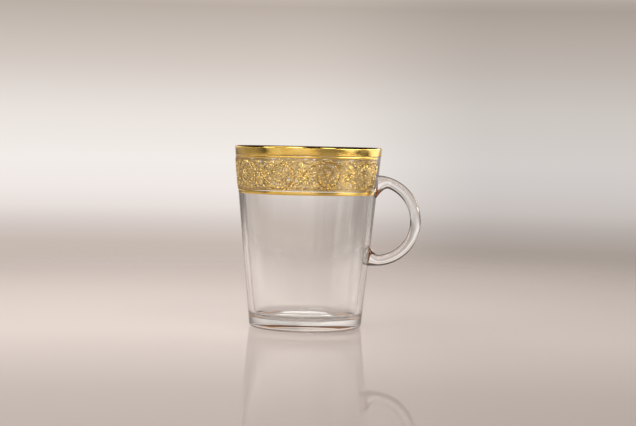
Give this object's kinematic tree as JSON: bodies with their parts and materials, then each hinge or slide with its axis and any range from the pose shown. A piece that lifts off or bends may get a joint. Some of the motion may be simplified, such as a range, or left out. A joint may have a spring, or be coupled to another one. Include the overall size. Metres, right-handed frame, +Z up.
{
  "type": "glass tea mug",
  "caption": "Tapered clear glass tea mug with a ring handle, a gilded lip and a raised gold scroll frieze between two gold lines.",
  "frame": {"origin": "middle of the foot ring, on the plane that the mug stands on", "axes": "+Z up along the bowl's axis, +X from the bowl's axis through the middle of the handle"},
  "size_m": [0.0955, 0.075, 0.0921],
  "materials": {
    "glass": "clear, fire-polished",
    "handle_glass": "clear, fire-polished",
    "gold_polished": "bright fired gold",
    "gold_line": "bright fired gold",
    "gold_relief": "raised fired gold, satin between bright crests"
  },
  "bodies": {
    "root": {"glass_body": "glass", "handle": "handle_glass", "rim_gilding": "gold_polished", "collar_line": "gold_line", "frieze_scrollwork": "gold_relief", "lower_line": "gold_line"}
  },
  "joints": []
}
